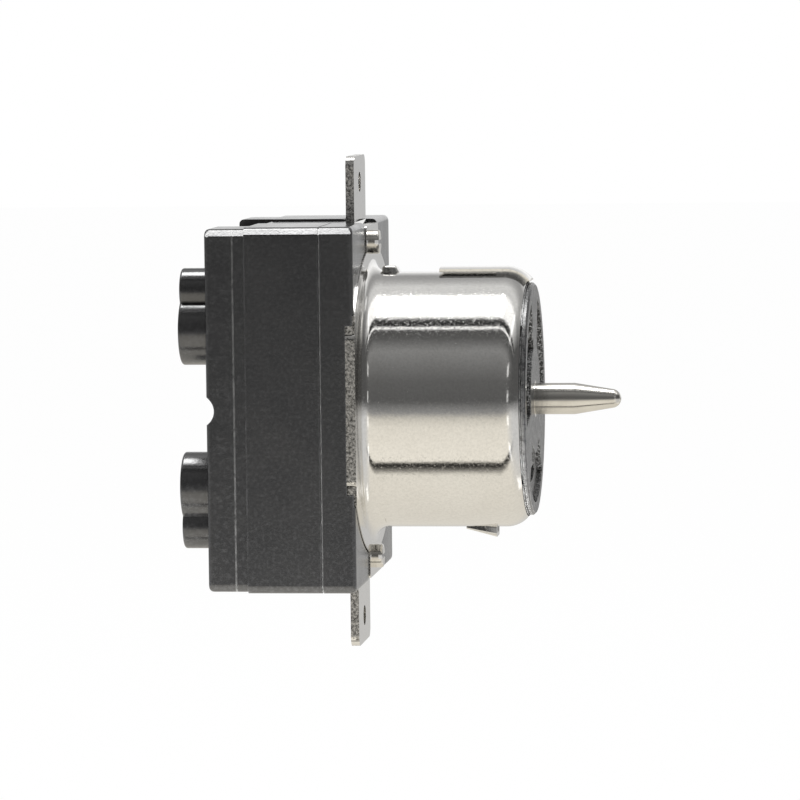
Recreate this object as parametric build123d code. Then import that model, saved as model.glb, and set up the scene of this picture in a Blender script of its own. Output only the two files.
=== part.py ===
from build123d import *
import math
import os

# Locking flush receptacle, 50 A class, with a drawn steel ground shell.
# Millimetres. +X is the front, where the plug comes in, +Z is up, and -Y is the near side.
# The origin is on the shell's axis, in the plane of the ears' back faces, which lie on the wall box.

# Mounting strap
strap_thickness = 1.6
ear_width = 18.0
ear_span = 93.4
ear_corner_radius = 2.0
ear_hole_spacing = 83.3
ear_hole_radius = 1.9
strap_joggle_length = 1.0
strap_joggle_step = 0.7
strap_ring_margin = 0.6
strap_ring_width = 3.4
strap_opening_gap = 1.1

# Front plate, which is one drawn piece with the shell
plate_thickness = 1.8
ear_set_back = 2.35
plate_oval_reach = 6.7
plate_waist_step = 0.6
wing_height = 28.8
wing_corner_radius = 1.2
tab_width = 18.6
tab_corner_radius = 0.8
tab_beyond_screw = 3.35
plate_screw_from_shell = 5.75
plate_screw_hole_radius = 1.9

# Shell
shell_from_body_side = 5.6
shell_wall = 1.0
shell_length = 25.6
shell_base_fillet = 3.0
lip_curve_radius = 5.2
lip_roll_in = 2.05
lip_edge = 0.05
key_height = 1.0
key_arc = 19.4
key_start = 13.2
key_wall = 0.6
key_root_length = 1.5
lug_start = 17.6
lug_length = 6.0
lug_height = 1.9
lug_width = 5.6
lug_nose_width = 1.9
lug_nose_radius = 0.3
lug_wall = 0.7

# Face insert
insert_clearance = 0.15
insert_flange_thickness = 2.6
insert_flange_reach = 0.8
insert_stand_out = 1.3
insert_front_wall = 6.0
face_pocket_depth = 1.0
face_pocket_arc = 84.0
face_edge_chamfer = 0.4
face_rim_width = 2.55
ring_groove_depth = 0.5
ring_groove_width = 0.3
ring_groove_from_face = 0.75
ring_notch_width = 2.6
ring_notch_depth = 0.9
ring_notch_angle = 39.0
ring_notch_run = 2.0
face_centre_radius = 10.3

# Blade slots and their chambers
blade_slot_from_recess = 5.2
blade_slot_width = 2.6
blade_slot_arc = 56.0
neutral_foot_length = 3.0
neutral_foot_arc = 12.0
chamber_width = 8.4
chamber_arc = 74.0
pole_angles = {"line_x": 150.0, "line_y": 30.0, "neutral": 270.0}

# Contacts and backing springs
contact_stock = 0.8
contact_gap = 2.2
contact_arc = 52.0
contact_mouth_length = 2.5
contact_mouth_spread = 0.7
contact_pinch = 0.35
contact_front_gap = 1.2
contact_back_set = 0.9
spring_stock = 0.5
spring_arc = 14.0
spring_overlap = 18.0
leg_width = 5.0
leg_stock = 1.2
leg_angle_offset = 17.5
bus_width = 8.0
bus_stock = 1.2

# Guide pin
pin_radius = 3.0
pin_shank_radius = 3.5
pin_projection = 16.4
pin_straight = 7.6
pin_tip_radius = 1.75
pin_tip_round = 1.3
pin_shoulder_radius = 5.0
pin_shoulder_thickness = 2.4
pin_stud_radius = 2.5
pin_stud_length = 13.0
pin_washer_radius = 4.8
pin_washer_thickness = 0.8
pin_nut_across_flats = 8.0
pin_nut_thickness = 4.0

# Housing
body_width = 60.0
body_corner_radius = 1.5
housing_length = 20.35
front_edge_radius = 1.0
plate_proud = 0.25
pocket_clearance = 0.25
wing_notch_height = 31.6
channel_width = 19.5
channel_depth = 0.45
ear_channel_clearance = 0.1
front_wall = 3.0
side_wall = 2.3
end_wall = 2.3
cavity_corner_radius = 2.5
barrier_thickness = 1.8
seam_line_from_front = 6.2
seam_line_depth = 0.15
seam_line_width = 0.3
post_radius = 3.0

# Back cover
cover_length = 7.5
cover_step = 0.25
cover_wall = 3.0
cover_back_edge_radius = 0.9
cover_channel_width = 33.4
cover_channel_depth = 1.5
edge_notch_radius = 3.05
edge_notch_depth = 1.5
edge_notch_run = 12.0
spigot_height = 1.5
spigot_wall = 1.4
spigot_clearance = 0.15
boss_length = 5.35
boss_edge_radius = 0.5

# Wire entries and terminals, one in each corner
entry_from_side = 8.0
screw_from_end = 12.0
entry_pitch = 7.5
wire_boss_radius = 6.5
wire_hole_radius = 4.25
driver_boss_radius = 4.2
driver_hole_radius = 2.75
funnel_wall = 1.0
funnel_gap = 0.15
terminal_width = 11.0
terminal_length = 13.75
terminal_below_wire = 5.4
terminal_above_screw = 4.0
terminal_edge_radius = 0.5
wire_pocket_radius = 3.4
terminal_end_wall = 2.0
wedge_length = 6.0
wedge_width = 6.8
wedge_slack = 0.15
wedge_above_screw = 3.2
wedge_below_screw = 3.4
wedge_rise = 1.6
terminal_screw_radius = 2.0
thread_fit = 0.04
terminal_screw_set_back = 0.5
terminal_head_radius = 2.4
terminal_head_length = 2.0
slot_width = 0.8
slot_depth = 0.8

# Ground strip and its rivet
ground_foot_length = 5.8
ground_foot_width = 4.0
ground_foot_from_side = 5.8
ground_foot_top_z = 10.2
ground_stock = 1.2
rivet_radius = 1.0
rivet_head_radius = 1.5
rivet_head_thickness = 0.8

# Fasteners
cover_screw_radius = 1.5
cover_screw_head_radius = 2.6
cover_screw_head_length = 1.7
cover_screw_bore_radius = 2.9
cover_screw_bore_depth = 2.0
cover_screw_length = 14.0
cover_screw_from_side = 5.4
cover_screw_from_end = 5.0
plate_screw_radius = 1.6
plate_screw_head_radius = 2.3
plate_screw_head_height = 1.5
plate_screw_head_round = 0.5
plate_screw_length = 7.5
screw_fit = 0.02

# Sizes and places that follow the body's width: shell and face, plate and strap, body and what it holds
shell_radius = body_width / 2 - shell_from_body_side
lip_opening_radius = shell_radius - lip_roll_in
insert_flange_radius = shell_radius + insert_flange_reach
face_pocket_radius = lip_opening_radius - face_rim_width
blade_circle_radius = face_pocket_radius - blade_slot_from_recess
strap_opening_radius = shell_radius + strap_opening_gap
plate_oval_width = body_width + 2 * plate_oval_reach
plate_oval_height = 2 * (strap_opening_radius + strap_ring_width + strap_ring_margin)
plate_waist_width = body_width - 2 * plate_waist_step
wing_span = body_width
plate_screw_spacing = 2 * (shell_radius + plate_screw_from_shell)
tab_span = plate_screw_spacing + 2 * tab_beyond_screw
strap_joggle_outer = tab_span / 2 + strap_joggle_step
housing_height = 2 * strap_joggle_outer
entry_y = body_width / 2 - entry_from_side
screw_z = housing_height / 2 - screw_from_end
wire_z = screw_z - entry_pitch
ground_foot_inner_y = body_width / 2 - ground_foot_from_side
cover_screw_y = body_width / 2 - cover_screw_from_side
cover_screw_z = housing_height / 2 - cover_screw_from_end

# Planes across the axis, worked out from the back of the ears forward and back
ear_front = strap_thickness
plate_front = ear_front + ear_set_back
plate_back = plate_front - plate_thickness
strap_ring_back = plate_back - strap_thickness
block_front = plate_front - plate_proud
insert_flange_back = plate_back - insert_flange_thickness
front_wall_back = insert_flange_back - front_wall
joint_plane = block_front - housing_length
cover_back = joint_plane - cover_length
cover_inside = cover_back + cover_wall
boss_back = cover_back - boss_length
shoulder_plane = plate_front + shell_length
lip_angle = math.acos(1 - (lip_roll_in - lip_edge) / lip_curve_radius)
lip_plane = shoulder_plane + lip_curve_radius * math.sin(lip_angle)
face_plane = lip_plane + insert_stand_out
chamber_front = face_plane - insert_front_wall
bus_back = front_wall_back - bus_stock
terminal_back = bus_back - terminal_length
cover_height = housing_height - 2 * cover_step
cover_width = body_width - 2 * cover_step
corners = [(-1, 1), (1, 1), (-1, -1), (1, -1)]
corner_of_pole = {"line_x": (-1, 1), "line_y": (1, 1), "neutral": (-1, -1), "ground": (1, -1)}


def slab(outline, x_back, x_front):
    """Extrude an outline drawn in Y and Z from one plane across the axis to another."""
    return extrude(Plane.YZ.offset(x_back) * outline, amount=x_front - x_back)


def rod(radius, x_back, x_front, y=0.0, z=0.0):
    return slab(Pos(y, z) * Circle(radius), x_back, x_front)


def brick(x_range, y_range, z_range):
    centre = Pos(sum(x_range) / 2, sum(y_range) / 2, sum(z_range) / 2)
    return centre * Box(x_range[1] - x_range[0], y_range[1] - y_range[0], z_range[1] - z_range[0])


def turned(points, arc=360.0):
    """Revolve a closed outline of (x, radius) points about the shell's axis."""
    return revolve(Plane.XZ * make_face(Polyline(*points, close=True)), Axis.X, revolution_arc=arc)


def sector(solid_of_arc, arc, middle_angle):
    """Turn a solid revolved from straight up so that its middle lies at an angle from +Y."""
    return Rot(middle_angle - 90 - arc / 2, 0, 0) * solid_of_arc


def on_circle(radius, angle):
    return radius * math.cos(math.radians(angle)), radius * math.sin(math.radians(angle))


def arc_slot(radius, width, arc, middle_angle, x_back, x_front):
    """A curved slot of constant width that follows a circle about the axis."""
    ring = [(x_back, radius - width / 2), (x_front, radius - width / 2),
            (x_front, radius + width / 2), (x_back, radius + width / 2)]
    return sector(turned(ring, arc), arc, middle_angle)


def plate_outline(growth=0.0):
    """Oval with cut sides, two wings and two tabs: the drawn shell's plate."""
    oval = Ellipse(plate_oval_width / 2 + growth, plate_oval_height / 2 + growth)
    oval = oval & Rectangle(plate_waist_width + 2 * growth, plate_oval_height + 2 * growth)
    wings = RectangleRounded(wing_span + 2 * growth, wing_height + 2 * growth, wing_corner_radius + growth)
    tabs = RectangleRounded(tab_width + 2 * growth, tab_span + 2 * growth, tab_corner_radius + growth)
    return oval + wings + tabs


def strap_ring_outline(growth=0.0):
    """The strap's middle: an oval just inside the plate's outline."""
    shrink = strap_ring_margin - growth
    oval = Ellipse(plate_oval_width / 2 - shrink, plate_oval_height / 2 - shrink)
    return oval & Rectangle(plate_waist_width - 2 * shrink, plate_oval_height)


def mounting_strap():
    joggle_inner = strap_joggle_outer - strap_joggle_length
    root = plate_screw_spacing / 2 - plate_screw_hole_radius
    root = min(root, joggle_inner) - strap_thickness
    solid = slab(strap_ring_outline(), strap_ring_back, plate_back)
    for side in (1, -1):
        tip = ear_span / 2
        profile = Polyline(
            (strap_ring_back, side * root),
            (strap_ring_back, side * joggle_inner),
            (0, side * strap_joggle_outer),
            (0, side * tip),
            (ear_front, side * tip),
            (ear_front, side * strap_joggle_outer),
            (plate_back, side * joggle_inner),
            (plate_back, side * root),
            close=True,
        )
        ear = extrude(Plane.XZ * make_face(profile), amount=ear_width / 2, both=True)
        ear = ear & slab(RectangleRounded(ear_width, ear_span, ear_corner_radius), -ear_span, ear_span)
        solid = solid + ear
        solid = solid - rod(ear_hole_radius, -ear_span, ear_span, 0, side * ear_hole_spacing / 2)
        solid = solid - rod(plate_screw_radius + screw_fit, -ear_span, ear_span, 0,
                            side * plate_screw_spacing / 2)
    solid = solid - rod(strap_opening_radius, -ear_span, ear_span)
    rivet_y, rivet_z = rivet_place()
    return solid - rod(rivet_radius + screw_fit, -ear_span, ear_span, rivet_y, rivet_z)


def lip_point(radius, angle):
    """A point of the rolled lip's section, on an arc of that radius about the lip's own centre."""
    centre_radius = shell_radius - lip_curve_radius
    return shoulder_plane + radius * math.sin(angle), centre_radius + radius * math.cos(angle)


def ground_shell():
    r_out, r_in = shell_radius, shell_radius - shell_wall
    mid = lip_angle / 2
    small = lip_curve_radius - shell_wall
    base_out = plate_front + shell_base_fillet
    foot_radius = r_out + shell_base_fillet
    inner_round = shell_base_fillet + shell_wall
    corner_in = math.sqrt(0.5)
    outline = [
        ThreePointArc(
            (plate_front, foot_radius),
            (plate_front + shell_base_fillet * (1 - corner_in), r_out + shell_base_fillet * (1 - corner_in)),
            (base_out, r_out),
        ),
        Line((base_out, r_out), (shoulder_plane, r_out)),
        ThreePointArc((shoulder_plane, r_out), lip_point(lip_curve_radius, mid),
                      lip_point(lip_curve_radius, lip_angle)),
        Line(lip_point(lip_curve_radius, lip_angle), lip_point(small, lip_angle)),
        ThreePointArc(lip_point(small, lip_angle), lip_point(small, mid), (shoulder_plane, r_in)),
        Line((shoulder_plane, r_in), (plate_back + inner_round, r_in)),
        ThreePointArc(
            (plate_back + inner_round, r_in),
            (plate_back + inner_round * (1 - corner_in), r_in + inner_round * (1 - corner_in)),
            (plate_back, r_in + inner_round),
        ),
        Line((plate_back, r_in + inner_round), (plate_back, foot_radius + shell_wall)),
        Line((plate_back, foot_radius + shell_wall), (plate_front, foot_radius + shell_wall)),
        Line((plate_front, foot_radius + shell_wall), (plate_front, foot_radius)),
    ]
    wall = revolve(Plane.XZ * make_face(Wire(outline)), Axis.X) + shell_key() + shell_lug()
    wall = wall - rod(lip_opening_radius, shoulder_plane, lip_plane + shell_wall)
    plate = slab(plate_outline() - Circle(foot_radius), plate_back, plate_front)
    for side in (1, -1):
        plate = plate - rod(plate_screw_hole_radius, plate_back, plate_front, 0,
                            side * plate_screw_spacing / 2)
    return wall + plate


def shell_key():
    """The raised key on top: a leaf lanced up from the wall, open behind and beside, that follows the lip."""
    outer = shell_radius + key_height
    under = outer - key_wall
    start = plate_front + key_start
    root = shoulder_plane - key_root_length
    skin = lip_curve_radius + key_height
    core = lip_curve_radius - shell_wall / 2
    outline = [
        Line((start, outer), (shoulder_plane, outer)),
        ThreePointArc((shoulder_plane, outer), lip_point(skin, lip_angle / 2), lip_point(skin, lip_angle)),
        Line(lip_point(skin, lip_angle), lip_point(core, lip_angle)),
        ThreePointArc(lip_point(core, lip_angle), lip_point(core, lip_angle / 2),
                      (shoulder_plane, shell_radius - shell_wall / 2)),
        Line((shoulder_plane, shell_radius - shell_wall / 2), (root, shell_radius - shell_wall / 2)),
        Line((root, shell_radius - shell_wall / 2), (root, under)),
        Line((root, under), (start, under)),
        Line((start, under), (start, outer)),
    ]
    leaf = revolve(Plane.XZ * make_face(Wire(outline)), Axis.X, revolution_arc=key_arc)
    return sector(leaf, key_arc, 90)


def shell_lug():
    """The locking lug at the bottom: a scoop lanced out of the wall, open at its front end."""
    start = plate_front + lug_start
    end = start + lug_length
    root = -(shell_radius - shell_wall / 2)
    tip = -(shell_radius + lug_height)
    small = Plane.YZ.offset(start) * Pos(0, root - shell_wall / 2) * RectangleRounded(
        lug_nose_width, shell_wall, lug_nose_radius)
    large = Plane.YZ.offset(end) * Pos(0, (root + tip) / 2) * RectangleRounded(
        lug_width, root - tip, lug_wall)
    scoop = loft([small, large])
    hollow_small = Plane.YZ.offset(start + lug_length / 3) * Pos(0, root) * Rectangle(
        lug_nose_width / 2, shell_wall / 2)
    hollow_large = Plane.YZ.offset(end) * Pos(0, (root + tip + lug_wall) / 2) * Rectangle(
        lug_width - 2 * lug_wall, root - tip - lug_wall)
    scoop = scoop - loft([hollow_small, hollow_large])
    return scoop - rod(shell_radius - shell_wall / 2, start - shell_wall, end + shell_wall)


def face_insert():
    bore_radius = shell_radius - shell_wall - insert_clearance
    neck_radius = lip_opening_radius - insert_clearance
    step_plane = shoulder_plane - insert_clearance
    solid = rod(insert_flange_radius, insert_flange_back, plate_back)
    solid = solid + rod(bore_radius, insert_flange_back, step_plane)
    solid = solid + rod(neck_radius, step_plane, face_plane)
    edge = [(face_plane - face_edge_chamfer, neck_radius), (face_plane, neck_radius - face_edge_chamfer),
            (face_plane, neck_radius)]
    solid = solid - turned(edge)
    groove_front = face_plane - ring_groove_from_face
    groove = [(groove_front - ring_groove_width, neck_radius - ring_groove_depth),
              (groove_front, neck_radius - ring_groove_depth),
              (groove_front, neck_radius + ring_groove_depth),
              (groove_front - ring_groove_width, neck_radius + ring_groove_depth)]
    solid = solid - turned(groove)
    for angle in (ring_notch_angle, -ring_notch_angle, 180 - ring_notch_angle, 180 + ring_notch_angle):
        notch = brick(
            (lip_plane - ring_notch_run, groove_front - ring_groove_width),
            (neck_radius - ring_notch_depth, neck_radius + ring_notch_depth),
            (-ring_notch_width / 2, ring_notch_width / 2),
        )
        solid = solid - Rot(angle, 0, 0) * notch
    pocket_middle = (face_centre_radius + face_pocket_radius) / 2
    pocket_width = face_pocket_radius - face_centre_radius
    for pole, angle in pole_angles.items():
        solid = solid - arc_slot(pocket_middle, pocket_width, face_pocket_arc, angle,
                                 face_plane - face_pocket_depth, face_plane)
        solid = solid - arc_slot(blade_circle_radius, chamber_width, chamber_arc, angle,
                                 insert_flange_back, chamber_front)
        solid = solid - arc_slot(blade_circle_radius, blade_slot_width, blade_slot_arc, angle,
                                 chamber_front, face_plane)
    solid = solid - neutral_slot_foot()
    solid = solid - rod(pin_shank_radius + screw_fit, insert_flange_back, face_plane)
    return solid - rod(pin_shoulder_radius + screw_fit, insert_flange_back,
                       insert_flange_back + pin_shoulder_thickness)


def neutral_slot_foot():
    """The inward foot of the neutral slot, which keeps a plug from going in turned."""
    foot_angle = pole_angles["neutral"] + (blade_slot_arc - neutral_foot_arc) / 2
    foot_radius = blade_circle_radius - blade_slot_width / 2 - neutral_foot_length / 2
    return arc_slot(foot_radius, neutral_foot_length, neutral_foot_arc, foot_angle,
                    chamber_front, face_plane)


def guide_pin():
    tip = face_plane + pin_projection
    taper_start = face_plane + pin_straight
    taper_end = tip - pin_tip_round
    cap_radius = (pin_tip_radius**2 + pin_tip_round**2) / (2 * pin_tip_round)
    half_cap = math.atan2(pin_tip_radius, cap_radius - pin_tip_round) / 2
    on_cap = (tip - cap_radius * (1 - math.cos(half_cap)), cap_radius * math.sin(half_cap))
    stud_end = insert_flange_back - pin_stud_length
    outline = [
        Line((stud_end, 0), (stud_end, pin_stud_radius)),
        Line((stud_end, pin_stud_radius), (insert_flange_back, pin_stud_radius)),
        Line((insert_flange_back, pin_stud_radius), (insert_flange_back, pin_shoulder_radius)),
        Line((insert_flange_back, pin_shoulder_radius),
             (insert_flange_back + pin_shoulder_thickness, pin_shoulder_radius)),
        Line((insert_flange_back + pin_shoulder_thickness, pin_shoulder_radius),
             (insert_flange_back + pin_shoulder_thickness, pin_shank_radius)),
        Line((insert_flange_back + pin_shoulder_thickness, pin_shank_radius), (face_plane, pin_shank_radius)),
        Line((face_plane, pin_shank_radius), (face_plane, pin_radius)),
        Line((face_plane, pin_radius), (taper_start, pin_radius)),
        Line((taper_start, pin_radius), (taper_end, pin_tip_radius)),
        ThreePointArc((taper_end, pin_tip_radius), on_cap, (tip, 0)),
        Line((tip, 0), (stud_end, 0)),
    ]
    return revolve(Plane.XZ * make_face(Wire(outline)), Axis.X)


def pin_washer():
    ring = Circle(pin_washer_radius) - Circle(pin_stud_radius + screw_fit)
    return slab(ring, front_wall_back - pin_washer_thickness, front_wall_back)


def pin_nut():
    nut_front = front_wall_back - pin_washer_thickness
    hexagon = RegularPolygon(pin_nut_across_flats / 2, 6, major_radius=False)
    nut = slab(hexagon - Circle(pin_stud_radius + screw_fit), nut_front - pin_nut_thickness, nut_front)
    corner_reach = pin_nut_across_flats / 2 / math.cos(math.pi / 6)
    bevel = corner_reach - pin_nut_across_flats / 2
    back = nut_front - pin_nut_thickness
    rounded = turned([(back, 0), (back, pin_nut_across_flats / 2), (back + bevel, corner_reach),
                      (nut_front, corner_reach), (nut_front, 0)])
    return nut & rounded


def leg_centre(pole):
    """Where a contact's leg passes through the housing's front wall, in Y and Z."""
    toward_terminal = -1 if pole in ("line_x", "neutral") else 1
    angle = pole_angles[pole] + toward_terminal * leg_angle_offset
    return on_circle(blade_circle_radius, angle), angle


def terminal_centre(pole):
    side, up = corner_of_pole[pole]
    return side * entry_y, up * wire_z


def bus_outline(pole, growth=0.0):
    (start_y, start_z), _ = leg_centre(pole)
    end_y, end_z = terminal_centre(pole)
    link = SlotCenterToCenter(
        math.hypot(end_y - start_y, end_z - start_z),
        bus_width + 2 * growth,
        rotation=math.degrees(math.atan2(end_z - start_z, end_y - start_y)),
    )
    return Pos((start_y + end_y) / 2, (start_z + end_z) / 2) * link


def contact(pole):
    """Two leaves on a curved base, a leg through the housing wall and a link to the terminal."""
    inner = blade_circle_radius - contact_gap / 2
    outer = blade_circle_radius + contact_gap / 2
    back = insert_flange_back + contact_back_set + spring_stock
    front = chamber_front - contact_front_gap
    bend = front - contact_mouth_length
    inner_leaf = [
        (back, inner - contact_stock), (back, inner), (bend, inner + contact_pinch),
        (front, inner - contact_mouth_spread),
        (front, inner - contact_mouth_spread - contact_stock), (bend, inner + contact_pinch - contact_stock),
    ]
    outer_leaf = [
        (back, outer + contact_stock), (back, outer), (bend, outer - contact_pinch),
        (front, outer + contact_mouth_spread),
        (front, outer + contact_mouth_spread + contact_stock), (bend, outer - contact_pinch + contact_stock),
    ]
    base = [(back, inner - contact_stock), (back + contact_stock, inner - contact_stock),
            (back + contact_stock, outer + contact_stock), (back, outer + contact_stock)]
    angle = pole_angles[pole]
    solid = sector(turned(inner_leaf, contact_arc), contact_arc, angle)
    solid = solid + sector(turned(outer_leaf, contact_arc), contact_arc, angle)
    solid = solid + sector(turned(base, contact_arc), contact_arc, angle)
    (leg_y, leg_z), leg_angle = leg_centre(pole)
    leg = Pos(leg_y, leg_z) * Rot(0, 0, leg_angle) * Rectangle(leg_stock, leg_width)
    solid = solid + slab(leg, bus_back, back)
    return solid + slab(bus_outline(pole), bus_back, front_wall_back)


def contact_spring(pole):
    """A steel clip that straddles the contact's leaves and keeps them closed on the blade."""
    inner = blade_circle_radius - contact_gap / 2 - contact_stock
    outer = blade_circle_radius + contact_gap / 2 + contact_stock
    back = insert_flange_back + contact_back_set
    front = back + spring_overlap
    base_front = back + spring_stock
    clip = [
        (back, inner - spring_stock), (front, inner - spring_stock + contact_pinch),
        (front, inner + contact_pinch), (base_front, inner),
        (base_front, outer), (front, outer - contact_pinch),
        (front, outer + spring_stock - contact_pinch), (back, outer + spring_stock),
    ]
    clip = sector(turned(clip, spring_arc), spring_arc, pole_angles[pole])
    return clip - contact(pole)


def rivet_place():
    beside_leg = ground_foot_inner_y + ground_stock + pocket_clearance + rivet_head_radius
    return beside_leg, -(ground_foot_top_z + ground_foot_length / 2)


def ground_strip():
    """Bonds the strap to the ground terminal: foot, leg and link, bent from one strip."""
    foot_back = strap_ring_back - ground_stock
    z_range = (-(ground_foot_top_z + ground_foot_length), -ground_foot_top_z)
    inner = ground_foot_inner_y
    end_y, end_z = terminal_centre("ground")
    foot = brick((foot_back, strap_ring_back), (inner, inner + ground_foot_width), z_range)
    leg = brick((bus_back, strap_ring_back), (inner, inner + ground_stock), z_range)
    link = brick((bus_back, front_wall_back), (end_y - bus_width / 2, inner + ground_stock),
                 (end_z - bus_width / 2, -ground_foot_top_z))
    rivet_y, rivet_z = rivet_place()
    return foot + leg + link - rod(rivet_radius + screw_fit, foot_back, strap_ring_back, rivet_y, rivet_z)


def bond_rivet():
    foot_back = strap_ring_back - ground_stock
    rivet_y, rivet_z = rivet_place()
    shank = rod(rivet_radius, foot_back, plate_back, rivet_y, rivet_z)
    return shank + rod(rivet_head_radius, foot_back - rivet_head_thickness, foot_back, rivet_y, rivet_z)


def terminal_box(side, up, growth=0.0):
    """The room of one wire clamp, as ranges in X, Y and Z."""
    y_mid = side * entry_y
    low = wire_z - terminal_below_wire - growth
    high = screw_z + terminal_above_screw + growth
    half = terminal_width / 2 + growth
    z_range = (low, high) if up > 0 else (-high, -low)
    return (terminal_back, bus_back), (y_mid - half, y_mid + half), z_range


def upward(up, low, high):
    return (low, high) if up > 0 else (-high, -low)


def terminal(pole):
    """Brass clamp body: a wire pocket and, beside it, a guide for the wedge nut."""
    side, up = corner_of_pole[pole]
    x_range, y_range, z_range = terminal_box(side, up)
    body = brick(x_range, y_range, z_range)
    body = fillet(body.edges().filter_by(Axis.X), terminal_edge_radius)
    y_mid = side * entry_y
    pocket_front = bus_back - terminal_end_wall
    body = body - rod(wire_pocket_radius, terminal_back, pocket_front, y_mid, up * wire_z)
    guide_half = wedge_width / 2 + wedge_slack
    guide = brick(
        (terminal_back + terminal_end_wall, pocket_front),
        (y_mid - guide_half, y_mid + guide_half),
        upward(up, screw_z - wedge_below_screw - wedge_rise - wedge_slack,
               screw_z + wedge_above_screw + wedge_slack),
    )
    body = body - guide
    return body - rod(terminal_screw_radius + thread_fit, terminal_back, bus_back, y_mid, up * screw_z)


def wedge_nut(pole):
    """Tapped nut with a sloped flank that closes on the wire as the screw draws it back."""
    side, up = corner_of_pole[pole]
    front = bus_back - terminal_end_wall - wedge_slack
    back = front - wedge_length
    top = up * (screw_z + wedge_above_screw)
    shallow = up * (screw_z - wedge_below_screw)
    deep = up * (screw_z - wedge_below_screw - wedge_rise)
    profile = Polyline((back, top), (front, top), (front, deep), (back, shallow), close=True)
    y_mid = side * entry_y
    wedge = Pos(0, y_mid, 0) * extrude(Plane.XZ * make_face(profile), amount=wedge_width / 2, both=True)
    return wedge - rod(terminal_screw_radius + thread_fit, back, front, y_mid, up * screw_z)


def terminal_screw(pole):
    side, up = corner_of_pole[pole]
    y_mid, z_mid = side * entry_y, up * screw_z
    head_back = terminal_back - terminal_head_length
    shank_front = bus_back - terminal_screw_set_back
    screw = rod(terminal_screw_radius, terminal_back, shank_front, y_mid, z_mid)
    screw = screw + rod(terminal_head_radius, head_back, terminal_back, y_mid, z_mid)
    slot = brick((head_back, head_back + slot_depth),
                 (y_mid - terminal_head_radius, y_mid + terminal_head_radius),
                 (z_mid - slot_width / 2, z_mid + slot_width / 2))
    return screw - slot


def body_channel(width, depth, height, x_back, x_front):
    """The shallow channel along the top and bottom of the body, in line with the ears."""
    cuts = []
    for up in (1, -1):
        z_range = upward(up, height / 2 - depth, height)
        cuts.append(brick((x_back, x_front), (-width / 2, width / 2), z_range))
    return cuts


def housing_cavity_outline(growth=0.0):
    return RectangleRounded(
        body_width - 2 * side_wall + 2 * growth,
        housing_height - 2 * end_wall + 2 * growth,
        cavity_corner_radius + growth,
    )


def front_screw_positions():
    return [(0, up * plate_screw_spacing / 2) for up in (1, -1)]


def cover_screw_positions():
    return [(side * cover_screw_y, up * cover_screw_z) for side, up in corners]


def housing_barriers():
    """Walls between the four terminals, with posts for the screws."""
    x_range = (joint_plane, front_wall_back)
    inner_y = entry_y - terminal_width / 2 - pocket_clearance
    lower_z = wire_z - terminal_below_wire - pocket_clearance
    ends = housing_height / 2 - end_wall / 2
    sides = body_width / 2 - side_wall / 2
    walls = []
    for side, up in corners:
        walls.append(brick(x_range, sorted((side * (inner_y - barrier_thickness), side * inner_y)),
                           upward(up, lower_z - barrier_thickness, ends)))
        walls.append(brick(x_range, sorted((side * (inner_y - barrier_thickness), side * sides)),
                           upward(up, lower_z - barrier_thickness, lower_z)))
    for y, z in cover_screw_positions() + front_screw_positions():
        walls.append(rod(post_radius, joint_plane, front_wall_back, y, z))
    return walls


def housing():
    outer = slab(RectangleRounded(body_width, housing_height, body_corner_radius), joint_plane, block_front)
    front_edges = outer.faces().sort_by(Axis.X)[-1].edges()
    body = fillet(front_edges, front_edge_radius)
    groove_front = block_front - seam_line_from_front
    ring = Rectangle(2 * body_width, 2 * housing_height) - RectangleRounded(
        body_width - 2 * seam_line_depth, housing_height - 2 * seam_line_depth, body_corner_radius)
    body = body - slab(ring, groove_front - seam_line_width, groove_front)
    body = body - slab(housing_cavity_outline(), joint_plane, front_wall_back)
    for wall in housing_barriers():
        body = body + wall
    body = body - front_pockets()
    for cut in body_channel(channel_width, channel_depth, housing_height, joint_plane, block_front):
        body = body - cut
    return body - wall_passages()


def front_pockets():
    """Room in the housing's front for the plate, the strap, the ears and the insert's flange."""
    gap = pocket_clearance
    plate_room = slab(plate_outline(gap), plate_back, block_front + gap)
    plate_room = plate_room + brick((plate_back, block_front + gap), (-body_width, body_width),
                                    (-wing_notch_height / 2, wing_notch_height / 2))
    strap_room = slab(strap_ring_outline(gap), strap_ring_back, plate_back)
    flange_room = rod(insert_flange_radius + gap, insert_flange_back, strap_ring_back)
    rooms = plate_room + strap_room + flange_room
    root = plate_screw_spacing / 2 - plate_screw_hole_radius - 2 * strap_thickness
    clear = strap_joggle_outer - strap_joggle_length - gap
    for up in (1, -1):
        rooms = rooms + brick((strap_ring_back, block_front + gap), (-channel_width / 2, channel_width / 2),
                              upward(up, root, housing_height))
        rooms = rooms + brick((-ear_channel_clearance, block_front + gap),
                              (-channel_width / 2, channel_width / 2), upward(up, clear, housing_height))
    return rooms


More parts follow.
